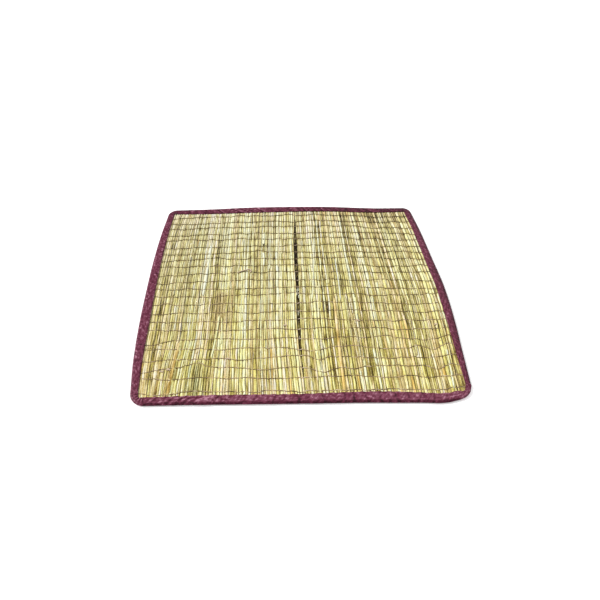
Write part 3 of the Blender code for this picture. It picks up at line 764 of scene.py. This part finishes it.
bundle_place = np.arange((len(bundle_edges) - 1) * TWINE_STATIONS + 1) / TWINE_STATIONS
row_x = np.interp(bundle_place, np.arange(len(bundle_edges)), bundle_edges)
cord = twine_finish()
rng = np.random.default_rng(13)
for name, first, last in (("twine_front", 0, 12), ("twine_back", 12, TWINE_COUNT)):
    strand = np.arange(2 * (last - first))[:, None] % 2
    turn = np.pi * (bundle_place + strand + np.repeat(rng.integers(0, 2, last - first), 2)[:, None])
    y = np.repeat([row_y(k, row_x) for k in range(first, last)], 2, axis=0)
    x = np.broadcast_to(row_x, y.shape)
    over = np.sign(np.sin(turn)) * np.abs(np.sin(turn)) ** TWINE_SQUARE
    paths = lay(x, y + TWINE_TWIST * np.cos(turn), 0.0, np.sign(x))
    lift = TWINE_LIFT * (0.3 + 0.7 * ease(RIM_END, FIELD_START, edge_distance(x, y)))
    highest, lowest = lay(x, y, TWINE_OVER, 0)[..., 2] + lift, lay(x, y, 0, 0)[..., 2] + TWINE_RADIUS
    sunk = np.clip(wander(rng, x, (0.7, 0.05), (0.6, 0.16)) - 0.1, 0, 1)
    sunk = TWINE_SINK * sunk * np.maximum(over, 0) * ease(0.22, 0.0, y)
    paths[..., 2] = (highest + lowest) / 2 + over * (highest - lowest) / 2 - sunk
    tone = TWINE_TONE + TWINE_AT_FRONT * ease(0.10, -0.18, y) + rng.normal(0, 0.05, strand.shape)
    tone = tone + TWINE_AT_SLIT * bell(x, TWINE_SLIT_REACH) + wander(rng, x, (0.14, 0.04), (0.14, 0.13))
    radius = TWINE_RADIUS * (1 + wander(rng, x, (0.12, 0.03)))
    rod_piece(name, paths, radius, radius, 0, together(tone, 0.5, 0.5), TWINE_SIDES, cord)

turn = np.linspace(0, 2 * np.pi * KNOT_TURNS, KNOT_STATIONS)
share = np.linspace(0, 1, KNOT_STATIONS)
knot_x, knot_y, size = np.array(KNOTS).T[..., None]
x = knot_x + size * np.cos(turn) * (0.6 + 0.4 * np.sin(0.7 * turn)) + 0.0004 * turn
y = knot_y + size * np.sin(turn * 1.3 + 1)
x = np.concatenate([x, smooth_through(LOOP_X, share)[None]])
y = np.concatenate([y, smooth_through(LOOP_Y, share)[None]])
paths = lay(x, y, 1.0, np.sign(x[:, :1]))
paths[..., 2] += 0.0006 + 0.0004 * np.sin(share * 12)
radius = np.full((len(x), 1), TWINE_RADIUS)
radius[-1] *= LOOP_THICKER
rod_piece("twine_knots", paths, radius, radius, 0, (KNOT_TONE, 0.5, 0.5), TWINE_SIDES, cord)

# The binding: one length of maroon satin tape, its edge turned under, folded over the
# panel's rim and stitched through. It is gathered along the front and back, and pleated
# where it turns the corners.
TAPE_THICKNESS, TAPE_STEP, HEM_WIDTH = 0.00045, 0.0015, 0.0055
LIP_HEIGHT, CROWN_RISE = 0.0048, 0.0007  # middle of the upper cloth at its lip, and more inwards
TURN_DEPTH, TURN_BULGE, FOLD_BULGE = 0.0025, 0.0005, 0.0009
LEG_POINTS, TURN_POINTS = 10, 7
# The upper cloth's width along each side, anticlockwise from the front, and how much
# paler it is painted there
LIP_WIDTHS = (
    (0.016, 0.018, 0.0185, 0.022, 0.0175), (0.011, 0.016, 0.018, 0.0175, 0.018),
    (0.017, 0.0194, 0.02, 0.0215, 0.023, 0.0207, 0.0175), (0.015, 0.017, 0.018, 0.0185, 0.014),
)
SIDE_SHADES = (
    (0.31, 0.31, 0.39, 0.31, 0.35, 0.39, 0.33), (0.17, 0.15, 0.15, 0.22, 0.12),
    (-0.1, -0.07, -0.02, 0.12, 0.19, 0.15, 0.08), (0.18, 0.26, 0.25, 0.26, 0.26, 0.25),
)
# Gathers along the front and back: raised, and the satin paints their crests paler and their valleys
# darker, as light and shade
PUCKER_PITCH, PUCKER_RISE, PUCKER_SLANT = 0.0185, 0.0021, -0.9
PUCKER_STRENGTH = (1.1, 1.15, 0.7, 0.42, 0.42, 0.42, 0.50, 0.50)  # along the front
# How strongly the satin paints creases and crumples in light and shade
SIDE_CREASE_SHADING, LEAST_CREASE_SHADING = 1.05, 0.85  # how creased it looks, against 1 where it is gathered
BACK_RISE = 0.45  # of the gathers at the back, against those at the front
# The fan's long pleats are raised, and the satin paints them as highlights
FAN_LENGTH, FAN_RISE, FAN_PLEATS = 0.060, 0.0010, 1.9  # long pleats before the front right corner
SMALL_PITCH, STEEP_LENGTH = 0.0074, 0.0045
BROAD_SHARE, SMALL_SHARE = 0.72, 0.28  # of the gathers' height
SIDE_GATHER, SIDE_PITCH = 0.16, 0.041  # of the plain sides
# Painted shade, how much darker: a steep flank of a gather, more of that away from the
# mat's edge, and what lies lowest on the front and on the right side
STEEP_PAINTED_SHADE, STEEP_PAINTED_SHADE_MORE, FRONT_LOW_PAINTED_SHADE, RIGHT_LOW_PAINTED_SHADE = 0.40, 0.44, 0.40, 0.28
SCALLOP, SCALLOP_PITCH = 0.0005, 0.019  # of the front and back lips
CORNER_SQUARE = (5, 8, 8, 8)  # how square the lip turns, from the front right on; 2 is round
# Pleats round the corners and creases across the sides are raised, and the satin paints them as
# highlights
CORNER_PLEATS, PLEAT_RISE = 5, 0.0007
CREASES = ((1, 0.055), (3, 0.055), (3, -0.16))  # side, counted from the front, and y
CREASE_REACH, CREASE_RISE = 0.0011, 0.45
# Sharp creases along the front, dipped and painted as dark lines of shade: x at the lip
# and at the mat's edge, half width, and depth
FRONT_CREASES = (
    (-0.148, -0.1474, 0.0016, 0.2), (-0.045, -0.045, 0.002, 0.22), (-0.0135, -0.009, 0.0034, 0.42),
    (0.029, 0.0345, 0.0018, 0.26), (0.0708, 0.0696, 0.0018, 0.26), (0.0873, 0.0864, 0.0026, 0.42),
    (0.106, 0.111, 0.0018, 0.28), (0.137, 0.134, 0.0034, 0.24), (0.162, 0.166, 0.0026, 0.42),
    (0.1861, 0.188, 0.0018, 0.24), (0.213, 0.2195, 0.002, 0.3), (0.2361, 0.233, 0.0016, 0.2),
)
# Satin colours from its painted shade, through its own maroon, to its painted pink highlights
SATIN_SHADES = (
    (0.0, (0.036, 0.002, 0.008)), (0.45, (0.138, 0.02, 0.047)), (0.8, (0.25, 0.08, 0.124)),
    (1.0, (0.46, 0.21, 0.28)),
)


def tape_stations():
    """Points round the edge, from the front left corner: side by side, with a quarter
    circle after each, where the lip's distance from the centre follows a power curve,
    nearly square. Returns columns: x, y, outward direction, lip's width, side's number,
    share of the corner's turn, distance along the side and to its nearer end, and how
    much paler the cloth is painted there."""
    radii = (*CORNER_RADII[0][1:], *CORNER_RADII[1][::-1], CORNER_RADII[0][0])
    columns = []
    for i, facing in enumerate(np.radians((-90, 0, 90, 180))):
        out = np.array([np.cos(facing), np.sin(facing)])
        travel = np.array([-out[1], out[0]])
        reach, half = (abs(way @ (MAT_WIDTH / 2, MAT_DEPTH / 2)) for way in (out, travel))
        length = 2 * half - radii[i - 1] - radii[i]
        run = np.arange(round(length / TAPE_STEP)) * TAPE_STEP
        x, y = travel[:, None] * (run + radii[i - 1] - half) + reach * out[:, None]
        lip, paleness = (smooth_through(values[i], run / length) for values in (LIP_WIDTHS, SIDE_SHADES))
        scallops = np.sin(2 * np.pi * run / SCALLOP_PITCH + 2 * np.sin(run * 31))
        lip = lip + (i % 2 == 0) * SCALLOP * scallops
        near_end = np.minimum(run, length - run)
        columns.append(together(x, y, *out, lip, i, 0.0, run, near_end, paleness))

        count = round(radii[i] * np.pi / 2 / TAPE_STEP)
        share = np.arange(count) / count
        lip, paleness = (
            values[i][-1] + (values[(i + 1) % 4][0] - values[i][-1]) * share
            for values in (LIP_WIDTHS, SIDE_SHADES)
        )
        power, quarter = CORNER_SQUARE[i], share * np.pi / 2
        square = (np.cos(quarter) ** power + np.sin(quarter) ** power) ** (1 / power)
        lip = radii[i] - (radii[i] - lip) / square
        centre = (half - radii[i]) * travel + (reach - radii[i]) * out
        out_x, out_y = np.cos(facing + quarter), np.sin(facing + quarter)
        x, y = centre[0] + radii[i] * out_x, centre[1] + radii[i] * out_y
        run = length + radii[i] * share
        columns.append(together(x, y, out_x, out_y, lip, i, share, run, 0.0, paleness))
    return np.concatenate(columns).T


def folds(run, pitch, seed, lean=0.68):
    """Gathers along an edge, at a pitch that two sines stretch and squeeze: each rises
    over lean of its width and drops over the rest, to a height from 0.2 to 1, more often
    low than high."""
    heights = 0.2 + 0.8 * np.random.default_rng(seed).uniform(0, 1, 997) ** 1.7
    place = run / pitch + 0.8 * np.sin(run / pitch * 0.55) + 0.28 * np.sin(run / pitch * 1.7 + 1)
    cell = np.floor(place)
    part = place - cell
    rise = np.where(part < lean, part / lean, (1 - part) / (1 - lean))
    return heights[cell.astype(int) % 997] * rise * rise * (3 - 2 * rise)


def tape_surface(ring, inset):
    """The upper cloth at an inset from the edge: place, and the height of its gathers from
    0 to 1. It crowns as a sine between lip and turn. Added to that are broad and small
    gathers, which slant, creases as bell curves along the edge, pleats as sines round the
    corners, and a fan of cosine pleats before the front right corner."""
    x, y, out_x, out_y, lip, side, corner, run, near_end, _ = ring[:, :, None]
    share = np.clip(inset / lip, 0, 1)
    gathered = ((side == 0) | (side == 2)) * ease(0.0, 0.02, near_end)
    gathered = gathered * np.where(side == 0, smooth_through(PUCKER_STRENGTH, run / MAT_WIDTH), 1.0)
    slant = PUCKER_SLANT * inset * np.where(side == 0, 1, -1) * (1 + 0.5 * np.sin(run / 0.05))
    slanted = folds(run + 0.4 + slant, PUCKER_PITCH, 6, 0.76)
    small = folds(run + 0.7 + 0.7 * PUCKER_SLANT * inset, SMALL_PITCH, 9)
    gather = gathered * (BROAD_SHARE * slanted + SMALL_SHARE * small)
    plain = ((side == 1) | (side == 3)) * ease(0.0, 0.02, near_end)
    gather = gather + plain * SIDE_GATHER * folds(run + 0.5 * inset + 0.9, SIDE_PITCH, 12, 0.5)
    for crease_side, crease_y in CREASES:
        line = bell(y - crease_y + 0.2 * inset, CREASE_REACH)
        gather = gather + (side == crease_side) * CREASE_RISE * line
    pleat = np.abs(np.sin(np.pi * CORNER_PLEATS * corner)) ** 1.5
    pleat = pleat * ease(0, 0.16, corner) * ease(1, 0.84, corner) * (0.25 + 0.75 * share) * (side != 0)
    turned = MAT_WIDTH - CORNER_RADII[0][0]  # the run at the end of the front right corner
    back_from = np.where(side == 0, (turned - run) / FAN_LENGTH, 2.0)
    fan = (share - 0.45) / (0.16 + 0.84 * np.clip(back_from, 0, 1))
    fanned = (0.5 + 0.5 * np.cos(2 * np.pi * FAN_PLEATS * fan + 0.8)) ** 2 * ease(1.0, 0.55, back_from)
    gather = gather * ease(0.45, 0.9, back_from)
    # the front creases dip the cloth and are painted as dark lines of shade
    for lip_x, edge_x, reach, depth in FRONT_CREASES:
        line = bell(x - edge_x - (lip_x - edge_x) * share, reach)
        gather = gather - (side == 0) * depth * line
    rise = PUCKER_RISE * gather * (0.45 + 0.55 * np.sin(np.pi * np.clip(share, 0.08, 0.92)))
    rise = rise * np.where(side == 2, BACK_RISE, 1.0) + PLEAT_RISE * pleat + FAN_RISE * fanned
    crown = CROWN_RISE * np.sin(np.pi * (1 - share) ** 0.8) + 0.0004 * (1 - share)
    px, py = settle(x - out_x * inset, y - out_y * inset)
    # the last value, the gathers' height with the pleats and the fan, is painted by the satin as
    # highlights on crests and shade in valleys
    return px, py, LIP_HEIGHT + crown + rise, np.minimum(gather + 0.8 * pleat + 0.6 * fanned, 1.0)


def satin_finish():
    """Satin: a smooth face of long threads with a soft gloss, fine ribs across the tape,
    painted paler on the crests of its gathers and darker in their valleys, and clouded and
    creased slantwise in painted light and shade."""
    finish, tree, shader = new_finish(
        "maroon_satin", Specular_IOR_Level=0.18,
        Sheen_Weight=0.06, Sheen_Roughness=0.4, Sheen_Tint=(1.0, 0.72, 0.80, 1),
    )
    cloth = node("TexCoord", tree=tree, out=2)
    fold, crease_shading, paleness = parts(kept(tree, "fold"))
    cloudy = stretched_noise(cloth, (120, 230, 1), 4.0)
    slanting = node("VectorRotate", cloth, None, None, 0.84)
    creases = stretched_noise(slanting, (75, 380, 1), 3.0)
    threads = stretched_noise(cloth, (260, 5200, 1), 2.0)
    # Clouds and slanting creases, painted as the light and shade of crumpled cloth
    in_places = node("MapRange", cloudy, 0.40, 0.62, 0.4, 1.6)
    painted_creases = product(node("Math", creases, -0.5), in_places)
    # Painted light and shade: the gathers' crests paler, their valleys darker
    shade = with_share(0.17, fold, 0.50)
    shade = with_share(shade, swung(painted_creases, cloudy, 1.9), crease_shading)
    shade = node("Math", paleness, with_share(shade, threads, 0.16))
    rough = node("MapRange", threads, 0.2, 0.8, 0.34, 0.5)
    rib = node("Math", product(parts(cloth)[0], 9000.0), operation="SINE")
    bump = relief(rib, 0.12, 0.00006, relief(threads, 0.25, 0.0001))
    bump = relief(creases, 0.5, 0.0012, bump)
    dressed(shader, Base_Color=ramp(shade, SATIN_SHADES), Roughness=rough, Normal=bump)
    return finish


def tape_mesh(ring):
    """The cloth's middle sheet: the section at each station runs from the hem's raw edge
    out to the lip, round it, over the crown, round the mat's edge and back below. Also,
    for its painted light and shade: how high its gathers are, how strongly its creases are
    painted, and how much paler it is painted, less the painted shade of steep and low places."""
    x, y, out_x, out_y, lip, side, corner, run, _, paleness = ring[:, :, None]
    leg_share = np.linspace(1, 0, LEG_POINTS)
    leg = tape_surface(ring, TURN_DEPTH + (lip - TURN_DEPTH) * leg_share)

    hem_share = np.array((1.0, 0.5, 0.12, 0.0))
    hem_x, hem_y, hem_z, hem_fold = tape_surface(ring, lip - HEM_WIDTH * hem_share)
    below = np.array((0.00080, 0.00072, 0.00062, 0.00030))
    hem_z = LIP_HEIGHT + 0.5 * (hem_z - LIP_HEIGHT) * (1 - 0.5 * hem_share) - below

    angle = np.pi * (0.5 - np.arange(1, TURN_POINTS + 1) / TURN_POINTS)
    top, top_fold, low = leg[2][:, -1:], leg[3][:, -1:], TAPE_THICKNESS / 2 + FLOOR_GAP
    bulge = (TURN_BULGE + FOLD_BULGE * (side == 0) * top_fold) * np.cos(angle)
    inset = TURN_DEPTH * (1 - np.cos(angle)) - bulge
    turn_x, turn_y = settle(x - out_x * inset, y - out_y * inset)
    turn_z = (top + low) / 2 + (top - low) / 2 * np.sin(angle)
    turn_fold = top_fold * (1 + np.sin(angle)) / 2

    low_inset = TURN_DEPTH + (lip - TURN_DEPTH) * np.array((0.33, 0.66, 1.0))
    low_x, low_y, _, _ = tape_surface(ring, low_inset)
    section = np.concatenate([
        together(hem_x, hem_y, hem_z, hem_fold, 1),
        together(*leg, leg_share),
        together(turn_x, turn_y, turn_z, turn_fold, 0),
        together(low_x, low_y, low, 0, 1),
    ], 1)
    fold, share = section[..., 3], section[..., 4]
    # Painted shade on the steep flanks of gathers, and on the cloth lowest on the front and on the right
    # side
    drop = (fold - np.roll(fold, -1, axis=0)) / TAPE_STEP * STEEP_LENGTH
    steep = STEEP_PAINTED_SHADE + STEEP_PAINTED_SHADE_MORE * ease(0.0, 0.35, share)
    shade = paleness - steep * np.clip(drop, 0, 1)
    front = np.where(side == 0, 1 - ease(0, 0.1, corner), (side == 3) * ease(0.9, 1, corner))
    shade = shade - FRONT_LOW_PAINTED_SHADE * front * ease(0.14, 0.0, share)
    shade = shade - RIGHT_LOW_PAINTED_SHADE * (side == 1) * (1 - corner) * ease(0.45, 0.0, share)
    along_front = np.clip(smooth_through(PUCKER_STRENGTH, run / MAT_WIDTH), LEAST_CREASE_SHADING, 1)
    crease_shading = np.where(side == 0, along_front, np.where(side == 2, 1.0, SIDE_CREASE_SHADING))
    return section[..., :3], together(fold, np.maximum(crease_shading, corner > 0), shade)


ring = tape_stations()
points, fold = tape_mesh(ring)
stations, across = points.shape[:2]
at = np.arange(stations * across).reshape(stations, across)
following = np.roll(at, -1, axis=0)
quads = np.stack([at[:, :-1], at[:, 1:], following[:, 1:], following[:, :-1]], -1).reshape(-1, 4)
tape = made_piece("satin_tape", "binding", "satin", satin_finish(), points, quads, [], fold=fold)
steps = np.linalg.norm(np.diff(points, axis=1, prepend=points[:, :1]), axis=2)
width_run = steps.cumsum(1).mean(0)
corner_u = (np.arange(stations)[:, None, None] + np.array((0, 0, 1, 1))) * TAPE_STEP
corner_v = np.stack([width_run[:-1], width_run[1:], width_run[1:], width_run[:-1]], -1)
cloth_map = tape.data.uv_layers.new(name="cloth")
cloth_map.data.foreach_set("uv", together(corner_u, corner_v).astype(np.float32).ravel())
cloth = tape.modifiers.new("cloth", "SOLIDIFY")
cloth.thickness, cloth.offset, cloth.use_even_offset = TAPE_THICKNESS, 0.0, True

# The stitching: one row of small stitches in matching thread, through the tape near its
# lip and out at the mat's underside.
STITCH_PITCH, STITCH_LENGTH, STITCH_INSET = 0.0031, 0.0021, 0.0021
STITCH_RADIUS, STITCH_SINK = 0.00016, 0.00022
STITCH_STATIONS, STITCH_SIDES = 5, 4
THREAD_SHADES = ((0.3, (0.07, 0.012, 0.028)), (0.7, (0.21, 0.07, 0.10)))

seam_x, seam_y, seam_z, _ = tape_surface(ring, ring[4][:, None] - STITCH_INSET)
seam = np.concatenate([seam_x, seam_y, seam_z + TAPE_THICKNESS / 2], 1)
seam = np.concatenate([seam, seam[:1]])
seam_run = np.linalg.norm(np.diff(seam, axis=0, prepend=seam[:1]), axis=1).cumsum()
count = int(seam_run[-1] / STITCH_PITCH)
share = np.linspace(0, 1, STITCH_STATIONS)
place = np.arange(count)[:, None] * seam_run[-1] / count + STITCH_LENGTH * share
paths = np.stack([np.interp(place, seam_run, seam[:, k]) for k in range(3)], -1)
paths[..., 2] += STITCH_RADIUS - (STITCH_SINK + STITCH_RADIUS) * (2 * share - 1) ** 4
thread, tree, shader = new_finish("matching_thread", Roughness=0.55)
ply = stretched_noise(kept(tree, "grain"), (5000, 3000, 1), 1.0)
dressed(shader, Base_Color=ramp(ply, THREAD_SHADES), Normal=relief(ply, 0.5, 0.0001))
rod_piece(
    "stitches", paths, STITCH_RADIUS, STITCH_RADIUS, 0, (0.5, 0.5, 0.5), STITCH_SIDES, thread,
    node="binding", slot="satin",
)
